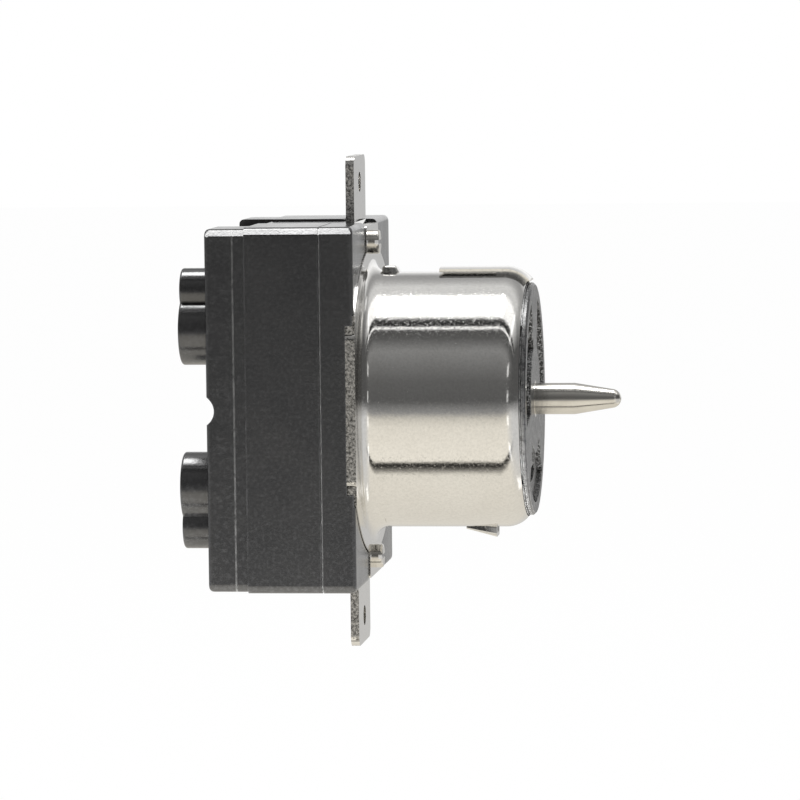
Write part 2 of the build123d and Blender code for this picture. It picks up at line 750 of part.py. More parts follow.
def wall_passages():
    """Holes through the housing's front wall for the pin, the legs and the fasteners."""
    gap = pocket_clearance
    holes = rod(pin_stud_radius + screw_fit, front_wall_back, insert_flange_back)
    for pole in pole_angles:
        (leg_y, leg_z), leg_angle = leg_centre(pole)
        leg = Pos(leg_y, leg_z) * Rot(0, 0, leg_angle) * Rectangle(leg_stock + 2 * gap, leg_width + 2 * gap)
        holes = holes + slab(leg, front_wall_back, insert_flange_back)
        holes = holes + slab(bus_outline(pole, gap), bus_back - gap, front_wall_back)
    foot_back = strap_ring_back - ground_stock
    inner = ground_foot_inner_y
    low, high = -(ground_foot_top_z + ground_foot_length) - gap, -ground_foot_top_z + gap
    end_y, end_z = terminal_centre("ground")
    holes = holes + brick((foot_back, strap_ring_back), (inner - gap, inner + ground_foot_width + gap),
                          (low, high))
    holes = holes + brick((bus_back - gap, strap_ring_back), (inner - gap, inner + ground_stock + gap),
                          (low, high))
    holes = holes + brick((bus_back - gap, front_wall_back),
                          (end_y - bus_width / 2 - gap, inner + ground_stock + gap),
                          (end_z - bus_width / 2 - gap, high))
    rivet_y, rivet_z = rivet_place()
    holes = holes + rod(rivet_head_radius + gap, foot_back - rivet_head_thickness - gap, foot_back,
                        rivet_y, rivet_z)
    for y, z in front_screw_positions():
        holes = holes + rod(plate_screw_radius + screw_fit, plate_front - plate_screw_length - gap,
                            plate_back, y, z)
    cover_screw_front = cover_back + cover_screw_bore_depth + cover_screw_length
    for y, z in cover_screw_positions():
        holes = holes + rod(cover_screw_radius + screw_fit, joint_plane, cover_screw_front + gap, y, z)
    return holes


def boss_outline(side, up):
    wire = Pos(side * entry_y, up * wire_z) * Circle(wire_boss_radius)
    driver = Pos(side * entry_y, up * screw_z) * Circle(driver_boss_radius)
    return wire + driver


def back_cover():
    outer = slab(RectangleRounded(cover_width, cover_height, body_corner_radius), cover_back, joint_plane)
    back_edges = outer.faces().sort_by(Axis.X)[0].edges()
    cover = fillet(back_edges, cover_back_edge_radius)
    cover = cover - slab(housing_cavity_outline(), cover_inside, joint_plane)
    for cut in body_channel(cover_channel_width, cover_channel_depth, cover_height, cover_back, joint_plane):
        cover = cover - cut
    for side in (1, -1):
        depth_centre = cover_back + edge_notch_depth - edge_notch_radius
        notch = Plane.XZ * Pos(depth_centre, 0) * Circle(edge_notch_radius)
        notch = extrude(notch, amount=edge_notch_run, both=True)
        cover = cover - Pos(0, side * cover_width / 2, 0) * notch
    spigot = housing_cavity_outline(-spigot_clearance)
    spigot = spigot - housing_cavity_outline(-spigot_clearance - spigot_wall)
    spigot_ring = slab(spigot, cover_inside, joint_plane + spigot_height)
    for y, z in cover_screw_positions() + front_screw_positions():
        spigot_ring = spigot_ring - rod(post_radius + pocket_clearance, joint_plane,
                                        joint_plane + spigot_height, y, z)
    spigot_ring = spigot_ring - barrier_room()
    for side, up in corners:
        spigot_ring = spigot_ring - brick(*terminal_box(side, up, pocket_clearance))
    for side, up in corners:
        cover = cover + boss(side, up)
    for y, z in cover_screw_positions():
        cover = cover + rod(post_radius, cover_inside, joint_plane, y, z)
    cover = cover + spigot_ring
    return cover - cover_holes()


def barrier_room():
    """Notches in the cover's spigot where the housing's inner walls meet its sides."""
    gap = pocket_clearance
    inner_y = entry_y - terminal_width / 2 - pocket_clearance
    lower_z = wire_z - terminal_below_wire - pocket_clearance
    x_range = (joint_plane, joint_plane + spigot_height)
    upright = (inner_y - barrier_thickness - gap, inner_y + gap)
    level = (lower_z - barrier_thickness - gap, lower_z + gap)
    rooms = []
    for side, up in corners:
        rooms.append(brick(x_range, sorted((side * upright[0], side * upright[1])),
                           upward(up, level[0], housing_height)))
        rooms.append(brick(x_range, sorted((side * upright[0], side * body_width)),
                           upward(up, level[0], level[1])))
    return rooms


def boss(side, up):
    """One figure-eight boss round a wire entry and its screwdriver entry, with its inner funnel."""
    outside = slab(boss_outline(side, up), boss_back, cover_back + cover_wall / 2)
    rim = outside.faces().sort_by(Axis.X)[0].edges()
    outside = fillet(rim, boss_edge_radius)
    funnel = rod(wire_hole_radius + funnel_wall, cover_back, terminal_back - funnel_gap,
                 side * entry_y, up * wire_z)
    return outside + funnel


def cover_holes():
    holes = []
    for side, up in corners:
        holes.append(rod(wire_hole_radius, boss_back, terminal_back, side * entry_y, up * wire_z))
        holes.append(rod(driver_hole_radius, boss_back, terminal_back, side * entry_y, up * screw_z))
    for y, z in cover_screw_positions():
        holes.append(rod(cover_screw_bore_radius, cover_back, cover_back + cover_screw_bore_depth, y, z))
        holes.append(rod(cover_screw_radius + screw_fit, cover_back, joint_plane, y, z))
    return holes


def cover_screws():
    head_front = cover_back + cover_screw_bore_depth
    head_back = head_front - cover_screw_head_length
    screws = []
    for y, z in cover_screw_positions():
        screw = rod(cover_screw_radius, head_front, head_front + cover_screw_length, y, z)
        screw = screw + rod(cover_screw_head_radius, head_back, head_front, y, z)
        slot = brick((head_back, head_back + slot_depth),
                     (y - cover_screw_head_radius, y + cover_screw_head_radius),
                     (z - slot_width / 2, z + slot_width / 2))
        screws.append(screw - slot)
    return Compound(children=screws)


def plate_screws():
    screws = []
    head_front = plate_front + plate_screw_head_height
    for y, z in front_screw_positions():
        head = rod(plate_screw_head_radius, plate_front, head_front, y, z)
        rim = head.faces().sort_by(Axis.X)[-1].edges()
        head = fillet(rim, plate_screw_head_round)
        screw = head + rod(plate_screw_radius, plate_front - plate_screw_length, plate_front, y, z)
        slot = brick((head_front - slot_depth, head_front),
                     (y - plate_screw_head_radius, y + plate_screw_head_radius),
                     (z - slot_width / 2, z + slot_width / 2))
        screws.append(screw - slot)
    return Compound(children=screws)


os.makedirs("parts", exist_ok=True)

export_step(mounting_strap(), "parts/mounting_strap.step")
export_step(ground_shell(), "parts/ground_shell.step")
export_step(face_insert(), "parts/face_insert.step")
export_step(guide_pin(), "parts/guide_pin.step")
export_step(pin_washer(), "parts/pin_washer.step")
export_step(pin_nut(), "parts/pin_nut.step")
export_step(housing(), "parts/housing.step")
export_step(back_cover(), "parts/back_cover.step")
export_step(ground_strip(), "parts/ground_strip.step")
export_step(bond_rivet(), "parts/bond_rivet.step")
export_step(cover_screws(), "parts/cover_screws.step")
export_step(plate_screws(), "parts/plate_screws.step")
for pole_name in pole_angles:
    export_step(contact(pole_name), f"parts/{pole_name}_contact.step")
    export_step(contact_spring(pole_name), f"parts/{pole_name}_spring.step")
for pole_name in corner_of_pole:
    export_step(terminal(pole_name), f"parts/{pole_name}_terminal.step")
    export_step(wedge_nut(pole_name), f"parts/{pole_name}_clamp.step")
    export_step(terminal_screw(pole_name), f"parts/{pole_name}_screw.step")
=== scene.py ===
import math
import bpy
from mathutils import Matrix, Vector


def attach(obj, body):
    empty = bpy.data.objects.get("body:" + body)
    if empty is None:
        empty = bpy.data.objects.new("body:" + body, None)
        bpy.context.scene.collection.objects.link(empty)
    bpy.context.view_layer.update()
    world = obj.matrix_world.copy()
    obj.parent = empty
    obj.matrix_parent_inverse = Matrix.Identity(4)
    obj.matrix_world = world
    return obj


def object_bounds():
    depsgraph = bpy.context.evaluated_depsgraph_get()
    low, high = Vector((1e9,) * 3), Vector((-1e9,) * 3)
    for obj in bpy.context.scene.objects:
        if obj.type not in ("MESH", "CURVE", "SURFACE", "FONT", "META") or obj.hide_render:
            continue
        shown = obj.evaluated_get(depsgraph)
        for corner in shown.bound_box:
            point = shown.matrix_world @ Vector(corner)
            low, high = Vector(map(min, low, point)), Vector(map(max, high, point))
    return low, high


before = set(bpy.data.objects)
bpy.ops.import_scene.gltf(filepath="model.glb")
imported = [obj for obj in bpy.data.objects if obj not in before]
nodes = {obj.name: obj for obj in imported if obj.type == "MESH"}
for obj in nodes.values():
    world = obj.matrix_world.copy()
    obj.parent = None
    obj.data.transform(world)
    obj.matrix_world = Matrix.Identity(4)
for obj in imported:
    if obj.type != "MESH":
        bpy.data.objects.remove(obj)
cad_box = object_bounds()

# Housing and back cover: the black moulded body, clamped to the strap by the plate screws.
# Glass-filled nylon, injection moulded, so it has a fine grain, faint flow marks and a soft gloss.
# Its parting lines get thin broken pale lines as a painted highlight, and its edges are painted a little
# paler, partly worn and partly a painted highlight.
moulding_colour = (0.008, 0.0081, 0.0083, 1.0)
moulding_flow_colour = (0.014, 0.014, 0.0144, 1.0)
moulding_fibre_colour = (0.028, 0.028, 0.0284, 1.0)
moulding_line_highlight_colour = (0.42, 0.42, 0.41, 1.0)
moulding_edge_wear_and_highlight_colour = (0.05, 0.05, 0.051, 1.0)
moulding_edge_wear_and_highlight_width = 0.00045
moulding_edge_wear_and_highlight_patches = 260.0
moulding_roughness = (0.14, 0.27)
moulding_relief = 0.000012
flow_height = 5.0
parting_line_highlights = (
    {"place": -0.00256, "half_width": 0.00012, "strength": 0.42},
    {"place": -0.01885, "half_width": 0.00022, "strength": 0.16},
)
corner_starts_across = 0.0284
corner_starts_up = 0.0325
corner_least_facing = (0.68, 0.14)
corner_slope = (0.7, 0.72)


def open_group(name, inputs, outputs):
    group = bpy.data.node_groups.new(name, "ShaderNodeTree")
    for label, kind, value in inputs:
        socket = group.interface.new_socket(label, in_out="INPUT", socket_type=kind)
        socket.default_value = value
    for label, kind in outputs:
        group.interface.new_socket(label, in_out="OUTPUT", socket_type=kind)
    return group, group.nodes.new("NodeGroupInput"), group.nodes.new("NodeGroupOutput")


def add_node(tree, kind, **settings):
    node = tree.nodes.new(kind)
    for name, value in settings.items():
        if name in node.inputs.keys():
            node.inputs[name].default_value = value
        else:
            setattr(node, name, value)
    return node


def calculate(tree, operation, first, second=None, clamp=False):
    node = tree.nodes.new("ShaderNodeMath")
    node.operation = operation
    node.use_clamp = clamp
    for socket, value in zip(node.inputs, (first, second)):
        if value is None:
            continue
        if isinstance(value, (int, float)):
            socket.default_value = value
        else:
            tree.links.new(value, socket)
    return node.outputs[0]


def multiply(tree, first, second):
    return calculate(tree, "MULTIPLY", first, second)


def add_up(tree, *values):
    total = values[0]
    for value in values[1:]:
        total = calculate(tree, "ADD", total, value)
    return total


def blend_colours(tree, mask, first, second):
    node = tree.nodes.new("ShaderNodeMix")
    node.data_type = "RGBA"
    for socket, value in zip((node.inputs[0], node.inputs[6], node.inputs[7]), (mask, first, second)):
        if isinstance(value, (int, float, tuple)):
            socket.default_value = value
        else:
            tree.links.new(value, socket)
    return node.outputs[2]


def remap(tree, value, span, result):
    node = tree.nodes.new("ShaderNodeMapRange")
    tree.links.new(value, node.inputs["Value"])
    for name, number in zip(("From Min", "From Max", "To Min", "To Max"), (*span, *result)):
        node.inputs[name].default_value = number
    return node.outputs["Result"]


# Pale edges, partly worn and partly a painted highlight: the rounded edges found by the bevel normal,
# broken into patches.
edge_wear_and_highlight, wear_and_highlight_in, wear_and_highlight_out = open_group(
    "edge_wear_and_highlight",
    [("Radius", "NodeSocketFloat", 0.0004), ("Patch Scale", "NodeSocketFloat", 300.0)],
    [("Wear And Highlight", "NodeSocketFloat")],
)
rounded = add_node(edge_wear_and_highlight, "ShaderNodeBevel", samples=4)
flat = edge_wear_and_highlight.nodes.new("ShaderNodeNewGeometry")
likeness = add_node(edge_wear_and_highlight, "ShaderNodeVectorMath", operation="DOT_PRODUCT")
wear_and_highlight_place = edge_wear_and_highlight.nodes.new("ShaderNodeTexCoord")
wear_and_highlight_patches = add_node(edge_wear_and_highlight, "ShaderNodeTexNoise", Detail=5.0)
edge_wear_and_highlight.links.new(wear_and_highlight_in.outputs["Radius"], rounded.inputs["Radius"])
edge_wear_and_highlight.links.new(rounded.outputs["Normal"], likeness.inputs[0])
edge_wear_and_highlight.links.new(flat.outputs["Normal"], likeness.inputs[1])
edge_wear_and_highlight.links.new(wear_and_highlight_place.outputs["Object"], wear_and_highlight_patches.inputs["Vector"])
edge_wear_and_highlight.links.new(wear_and_highlight_in.outputs["Patch Scale"], wear_and_highlight_patches.inputs["Scale"])
edge = remap(edge_wear_and_highlight, likeness.outputs["Value"], (0.99, 0.82), (0.0, 1.0))
patches = remap(edge_wear_and_highlight, wear_and_highlight_patches.outputs["Fac"], (0.36, 0.62), (0.15, 1.0))
worn_and_highlit = calculate(edge_wear_and_highlight, "MULTIPLY", edge, patches, clamp=True)
edge_wear_and_highlight.links.new(worn_and_highlit, wear_and_highlight_out.inputs["Wear And Highlight"])


def open_material(name):
    material = bpy.data.materials.new(name)
    material.use_nodes = True
    tree = material.node_tree
    shader = tree.nodes["Principled BSDF"]
    place = tree.nodes.new("ShaderNodeTexCoord").outputs["Object"]
    return material, tree, shader, place


def stretch_noise(tree, vector, scale, detail=4.0, roughness=0.55):
    noise = add_node(tree, "ShaderNodeTexNoise", Scale=scale, Detail=detail, Roughness=roughness)
    tree.links.new(vector, noise.inputs["Vector"])
    return noise.outputs["Fac"]


def split_vector(tree, vector):
    axes = tree.nodes.new("ShaderNodeSeparateXYZ")
    tree.links.new(vector, axes.inputs[0])
    return axes.outputs["X"], axes.outputs["Y"], axes.outputs["Z"]


def place_wear_and_highlight(tree, radius, patch_scale):
    node = add_node(tree, "ShaderNodeGroup", node_tree=edge_wear_and_highlight)
    node.inputs["Radius"].default_value = radius
    node.inputs["Patch Scale"].default_value = patch_scale
    return node.outputs["Wear And Highlight"]


def narrow_mask(tree, mask, limits):
    for value, operation, limit in limits:
        mask = multiply(tree, mask, calculate(tree, operation, value, limit))
    return mask


def feed_bump(tree, shader, height, distance, under=None):
    bump = add_node(tree, "ShaderNodeBump", Strength=1.0, Distance=distance)
    tree.links.new(height, bump.inputs["Height"])
    if under is not None:
        tree.links.new(under, bump.inputs["Normal"])
    tree.links.new(bump.outputs["Normal"], shader.inputs["Normal"])


black_moulding, tree, shader, place = open_material("black_moulding")
grain = stretch_noise(tree, place, 2600.0, 3.0)
flow = stretch_noise(tree, place, 90.0, 6.0, 0.62)
cloudy = remap(tree, flow, (0.35, 0.7), (0.0, 0.35))
tone = blend_colours(tree, cloudy, moulding_colour, moulding_flow_colour)
fibres = remap(tree, stretch_noise(tree, place, 1500.0, 5.0, 0.7), (0.48, 0.7), (0.0, 0.8))
tone = blend_colours(tree, fibres, tone, moulding_fibre_colour)
along, across, upright = split_vector(tree, place)
broken = remap(tree, stretch_noise(tree, place, 700.0, 4.0, 0.7), (0.36, 0.6), (0.25, 1.0))
# Painted highlight: thin broken pale lines along the two parting lines, where their edges would catch
# the light.
for parting in parting_line_highlights:
    off_line = calculate(tree, "ABSOLUTE", calculate(tree, "SUBTRACT", along, parting["place"]))
    line_highlight = remap(
        tree, off_line, (parting["half_width"], parting["half_width"] * 0.5), (0.0, parting["strength"])
    )
    tone = blend_colours(tree, multiply(tree, line_highlight, broken), tone, moulding_line_highlight_colour)
# The edges are painted a little paler, partly worn and partly a painted highlight.
wear_and_highlight = place_wear_and_highlight(tree, moulding_edge_wear_and_highlight_width, moulding_edge_wear_and_highlight_patches)
tone = blend_colours(tree, wear_and_highlight, tone, moulding_edge_wear_and_highlight_colour)
tree.links.new(tone, shader.inputs["Base Color"])
tree.links.new(remap(tree, flow, (0.3, 0.75), moulding_roughness), shader.inputs["Roughness"])
shader.inputs["IOR"].default_value = 1.56
shader.inputs["Specular IOR Level"].default_value = 1.0

# The four long corners of both mouldings are rounded by 1.5 mm in the CAD. Their shading is turned
# to one even slope, as on a flat bevel, before the grain is laid on it.
normal = tree.nodes.new("ShaderNodeNewGeometry").outputs["Normal"]
side_facing, up_facing = [calculate(tree, "ABSOLUTE", part) for part in split_vector(tree, normal)[1:]]
on_corner = narrow_mask(tree, calculate(tree, "GREATER_THAN", side_facing, corner_least_facing[0]), (
    (up_facing, "GREATER_THAN", corner_least_facing[1]),
    (calculate(tree, "ABSOLUTE", across), "GREATER_THAN", corner_starts_across),
    (calculate(tree, "ABSOLUTE", upright), "GREATER_THAN", corner_starts_up),
))
slope = tree.nodes.new("ShaderNodeCombineXYZ")
for value, amount, axis in zip((across, upright), corner_slope, ("Y", "Z")):
    tree.links.new(multiply(tree, calculate(tree, "SIGN", value), amount), slope.inputs[axis])
bevelled = tree.nodes.new("ShaderNodeMix")
bevelled.data_type = "VECTOR"
tree.links.new(on_corner, bevelled.inputs[0])
tree.links.new(normal, bevelled.inputs[4])
tree.links.new(slope.outputs[0], bevelled.inputs[5])
height = add_up(tree, grain, multiply(tree, flow, flow_height))
feed_bump(tree, shader, height, moulding_relief, bevelled.outputs[1])


def dress(node_names, material):
    for name in node_names:
        for held in nodes[name].material_slots:
            held.material = material


dress(["housing", "back_cover"], black_moulding)

# Contacts with their legs, ground strip and its rivet: phosphor bronze, blanked and formed in a press,
# brushed lightly by the tools and toned a warm brown where it has been handled.
bronze_colours = ((0.50, 0.27, 0.12, 1.0), (0.33, 0.16, 0.075, 1.0))
bronze_roughness = (0.24, 0.42)
bronze_relief = 0.000006


def finish_metal(tree, shader, tone_mask, colours, polish_mask, roughness):
    tree.links.new(blend_colours(tree, tone_mask, *colours), shader.inputs["Base Color"])
    tree.links.new(remap(tree, polish_mask, (0.3, 0.7), roughness), shader.inputs["Roughness"])
    shader.inputs["Metallic"].default_value = 1.0


contact_bronze, tree, shader, place = open_material("contact_bronze")
drawn = add_node(tree, "ShaderNodeMapping", Scale=(1.0, 9.0, 9.0))
tree.links.new(place, drawn.inputs["Vector"])
streaks = stretch_noise(tree, drawn.outputs["Vector"], 900.0, 4.0)
toned = stretch_noise(tree, place, 160.0, 5.0)
finish_metal(tree, shader, toned, bronze_colours, streaks, bronze_roughness)
feed_bump(tree, shader, streaks, bronze_relief)
dress(
    ["line_x_contact", "line_y_contact", "neutral_contact", "ground_strip", "bond_rivet"], contact_bronze
)

# Backing springs: clips of blued spring steel strip, bent to shape and tempered.
# Each straddles the two leaves of its contact and keeps them closed on the blade.
spring_colours = ((0.14, 0.15, 0.19, 1.0), (0.24, 0.22, 0.20, 1.0))
spring_roughness = (0.26, 0.44)
spring_relief = 0.000004
spring_steel, tree, shader, place = open_material("spring_steel")
temper = stretch_noise(tree, place, 220.0, 5.0)
finish_metal(tree, shader, temper, spring_colours, temper, spring_roughness)
feed_bump(tree, shader, stretch_noise(tree, place, 3000.0), spring_relief)
dress(["line_x_spring", "line_y_spring", "neutral_spring"], spring_steel)

# Terminals and wedge nuts: brass cut from bar, with fine tool marks along it, a little tarnished.
# The terminals stand between the housing's inner walls, and the nuts run inside them.
brass_colours = ((0.68, 0.46, 0.17, 1.0), (0.42, 0.26, 0.10, 1.0))
brass_roughness = (0.2, 0.4)
brass_relief = 0.000004
terminal_brass, tree, shader, place = open_material("terminal_brass")
tool_marks = add_node(
    tree, "ShaderNodeTexWave", bands_direction="X", Scale=700.0, Distortion=1.5, Detail=2.0
)
tree.links.new(place, tool_marks.inputs["Vector"])
tarnish = stretch_noise(tree, place, 240.0, 6.0)
finish_metal(tree, shader, tarnish, brass_colours, tarnish, brass_roughness)
feed_bump(tree, shader, tool_marks.outputs["Fac"], brass_relief)
poles = ["line_x", "line_y", "neutral", "ground"]
dress([pole + part for pole in poles for part in ("_terminal", "_clamp")], terminal_brass)

# Terminal screws: steel, zinc plated and passivated,
# turned by a driver through the entries of the back cover.
zinc_colours = ((0.60, 0.60, 0.58, 1.0), (0.42, 0.43, 0.44, 1.0))
zinc_roughness = (0.24, 0.42)
zinc_relief = 0.00001
terminal_screw_steel, tree, shader, place = open_material("terminal_screw_steel")
zinc = stretch_noise(tree, place, 500.0, 5.0)
finish_metal(tree, shader, zinc, zinc_colours, zinc, zinc_roughness)
feed_bump(tree, shader, zinc, zinc_relief)
dress([pole + "_screw" for pole in poles], terminal_screw_steel)

# Strap and shell with its front plate: drawn sheet steel, plated with bright nickel.
# The drawing leaves a fine orange peel and small dull pits under the plating, and the sheared edges
# of the strap and plate, which lie behind sheared_end, stay rough and torn.
nickel_colours = ((0.735, 0.725, 0.702, 1.0), (0.67, 0.655, 0.625, 1.0))
nickel_speck_colour = (0.44, 0.43, 0.415, 1.0)
torn_colours = ((0.13, 0.127, 0.12, 1.0), (0.95, 0.93, 0.89, 1.0))
nickel_roughness = (0.03, 0.10)
pit_roughness = 0.2
torn_roughness = 0.2
nickel_relief = 0.000007
sparkle_height = 0.35
sheared_end = 0.0042
sheared_least_facing = 0.93
nickel_plate, tree, shader, place = open_material("nickel_plate")
patchy = remap(tree, stretch_noise(tree, place, 120.0, 5.0, 0.6), (0.35, 0.7), (0.0, 0.5))
nickel_tone = blend_colours(tree, patchy, *nickel_colours)
specks = remap(tree, stretch_noise(tree, place, 1900.0, 4.0, 0.75), (0.42, 0.62), (0.0, 0.2))
nickel_tone = blend_colours(tree, specks, nickel_tone, nickel_speck_colour)
normal = tree.nodes.new("ShaderNodeNewGeometry").outputs["Normal"]
side_facing, up_facing = [calculate(tree, "ABSOLUTE", part) for part in split_vector(tree, normal)[1:]]
sideways = calculate(tree, "MAXIMUM", side_facing, up_facing)
along = split_vector(tree, place)[0]
sheared = narrow_mask(tree, calculate(tree, "GREATER_THAN", sideways, sheared_least_facing), (
    (along, "LESS_THAN", sheared_end),
))
torn = remap(tree, stretch_noise(tree, place, 2000.0, 4.0, 0.75), (0.4, 0.6), (0.0, 1.0))
torn_tone = blend_colours(tree, torn, *torn_colours)
tree.links.new(blend_colours(tree, sheared, nickel_tone, torn_tone), shader.inputs["Base Color"])
sparkle = stretch_noise(tree, place, 3400.0, 3.0, 0.6)
pits = remap(tree, stretch_noise(tree, place, 2100.0, 4.0, 0.6), (0.5, 0.72), (0.0, 1.0))
polish = add_up(
    tree,
    remap(tree, sparkle, (0.35, 0.7), nickel_roughness),
    multiply(tree, pits, pit_roughness),
    multiply(tree, sheared, torn_roughness),
)
tree.links.new(polish, shader.inputs["Roughness"])
shader.inputs["Metallic"].default_value = 1.0
peel = stretch_noise(tree, place, 900.0, 3.0, 0.5)
height = add_up(tree, peel, multiply(tree, sparkle, sparkle_height))
feed_bump(tree, shader, height, nickel_relief)
dress(["mounting_strap", "ground_shell"], nickel_plate)

# Stop on top of the shell: a small bump pressed out of the same sheet, just in front of the base fillet.
# It is round-cornered, leans back at its front, and is plated with the rest of the shell.
stop_size = (0.0042, 0.0032, 0.0028)
stop_centre = (0.0080, 0.0, 0.0242)
stop_lean = -0.0016
stop_corner = 0.0005
bpy.ops.object.select_all(action="DESELECT")
bpy.ops.mesh.primitive_cube_add(size=1.0, location=stop_centre, scale=stop_size)
shell_stop = bpy.context.active_object
shell_stop.name = "shell_stop"
bpy.ops.object.transform_apply(location=True, rotation=True, scale=True)
bpy.ops.object.mode_set(mode="EDIT")
bpy.ops.mesh.select_mode(type="VERT")
bpy.ops.mesh.select_all(action="DESELECT")
bpy.ops.object.mode_set(mode="OBJECT")
for corner in shell_stop.data.vertices:
    corner.select = corner.co.x > stop_centre[0] and corner.co.z > stop_centre[2]
bpy.ops.object.mode_set(mode="EDIT")
bpy.ops.transform.translate(value=(stop_lean, 0.0, 0.0))
bpy.ops.mesh.select_all(action="SELECT")
bpy.ops.mesh.bevel(offset=stop_corner, segments=5, affect="EDGES")
bpy.ops.mesh.normals_make_consistent(inside=False)
bpy.ops.object.mode_set(mode="OBJECT")
bpy.ops.object.shade_smooth()
shell_stop.data.materials.append(nickel_plate)
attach(shell_stop, "receptacle")

# Face insert: black phenolic, compression moulded, held by its flange between front plate and housing.
# It is satin, with a painted highlight along its edges, and the three pockets of its face have a coarse
# grain, with painted shade on their floor and painted glints on the grain's peaks.
insert_colours = ((0.035, 0.035, 0.036, 1.0), (0.06, 0.06, 0.061, 1.0))
pocket_shade_and_glint_colours = ((0.012, 0.012, 0.012, 1.0), (0.28, 0.28, 0.275, 1.0))
insert_edge_highlight_colour = (0.4, 0.4, 0.39, 1.0)
insert_edge_highlight_width = 0.0003
insert_edge_highlight_patches = 900.0
insert_roughness = (0.2, 0.42)
insert_relief = 0.00005
fine_height = 0.3
pocket_back, pocket_front = (0.0336, 0.0349)
pocket_inside, pocket_outside = (0.0102, 0.0199)
pebble_height = 4.5
insert_moulding, tree, shader, place = open_material("insert_moulding")
along, across, upright = split_vector(tree, place)
from_axis = calculate(
    tree, "SQRT", add_up(tree, multiply(tree, across, across), multiply(tree, upright, upright))
)
in_pocket = narrow_mask(tree, calculate(tree, "GREATER_THAN", along, pocket_back), (
    (along, "LESS_THAN", pocket_front),
    (from_axis, "GREATER_THAN", pocket_inside),
    (from_axis, "LESS_THAN", pocket_outside),
))
coarse = stretch_noise(tree, place, 900.0, 5.0, 0.6)
pebbles = stretch_noise(tree, place, 2600.0, 3.0, 0.6)
insert_tone = blend_colours(tree, remap(tree, coarse, (0.4, 0.7), (0.0, 1.0)), *insert_colours)
# Painted shade: the pocket floors are painted darker than the rest of the face.
insert_tone = blend_colours(tree, in_pocket, insert_tone, pocket_shade_and_glint_colours[0])
# Painted glints: the peaks of the pocket grain are painted pale.
glint_tips = multiply(tree, in_pocket, remap(tree, pebbles, (0.52, 0.58), (0.0, 1.0)))
insert_tone = blend_colours(tree, glint_tips, insert_tone, pocket_shade_and_glint_colours[1])
# Painted highlight: the insert's edges are painted pale.
wear_and_highlight = place_wear_and_highlight(tree, insert_edge_highlight_width, insert_edge_highlight_patches)
insert_tone = blend_colours(tree, wear_and_highlight, insert_tone, insert_edge_highlight_colour)
tree.links.new(insert_tone, shader.inputs["Base Color"])
tree.links.new(remap(tree, coarse, (0.3, 0.7), insert_roughness), shader.inputs["Roughness"])
shader.inputs["IOR"].default_value = 1.6
shader.inputs["Specular IOR Level"].default_value = 0.75
fine = stretch_noise(tree, place, 3200.0, 3.0)
grainy = multiply(tree, multiply(tree, pebbles, in_pocket), pebble_height)
height = add_up(tree, coarse, multiply(tree, fine, fine_height), grainy)
feed_bump(tree, shader, height, insert_relief)
dress(["face_insert"], insert_moulding)

# Guide pin, held through the housing's front wall by its washer and nut, and the screws of plate and
# cover: steel, turned or headed, then polished and plated, with faint lathe rings and smudges.
steel_colours = ((0.70, 0.68, 0.635, 1.0), (0.60, 0.58, 0.54, 1.0))
steel_roughness = (0.14, 0.23)
steel_relief = 0.000003
bright_steel, tree, shader, place = open_material("bright_steel")
lathe = add_node(
    tree, "ShaderNodeTexWave", bands_direction="X", Scale=1300.0, Distortion=0.6, Detail=2.0
)
tree.links.new(place, lathe.inputs["Vector"])
smudge = stretch_noise(tree, place, 260.0, 5.0)
finish_metal(tree, shader, smudge, steel_colours, smudge, steel_roughness)
feed_bump(tree, shader, add_up(tree, lathe.outputs["Fac"], smudge), steel_relief)
dress(["guide_pin", "pin_washer", "pin_nut", "cover_screws", "plate_screws"], bright_steel)

# Floor: a pale matt sheet under the part, which looks white to the camera and keeps the shadow.
# The plated metal reads the room round it instead, so it is left out of the reflections.
floor_drop = 0.06
floor_size = 8.0
floor_colour = (0.9, 0.9, 0.89, 1.0)
floor_roughness = 0.9
floor_white_share = 0.975
bpy.ops.object.select_all(action="DESELECT")
bpy.ops.mesh.primitive_plane_add(size=floor_size, location=(0.0, 0.0, cad_box[0].z - floor_drop))
floor = bpy.context.active_object
floor.name = "floor"
floor.visible_glossy = False
pale_floor = bpy.data.materials.new("pale_floor")
pale_floor.use_nodes = True
tree = pale_floor.node_tree
shader = tree.nodes["Principled BSDF"]
shader.inputs["Base Color"].default_value = floor_colour
shader.inputs["Roughness"].default_value = floor_roughness
path = tree.nodes.new("ShaderNodeLightPath")
glow = add_node(tree, "ShaderNodeEmission", Strength=1.0)
seen = calculate(tree, "MAXIMUM", path.outputs["Is Camera Ray"], path.outputs["Is Glossy Ray"])
seen = calculate(tree, "MAXIMUM", seen, path.outputs["Is Transmission Ray"])
mixed = tree.nodes.new("ShaderNodeMixShader")
tree.links.new(multiply(tree, seen, floor_white_share), mixed.inputs["Fac"])
tree.links.new(shader.outputs[0], mixed.inputs[1])
tree.links.new(glow.outputs[0], mixed.inputs[2])
tree.links.new(mixed.outputs[0], tree.nodes["Material Output"].inputs["Surface"])
floor.data.materials.append(pale_floor)

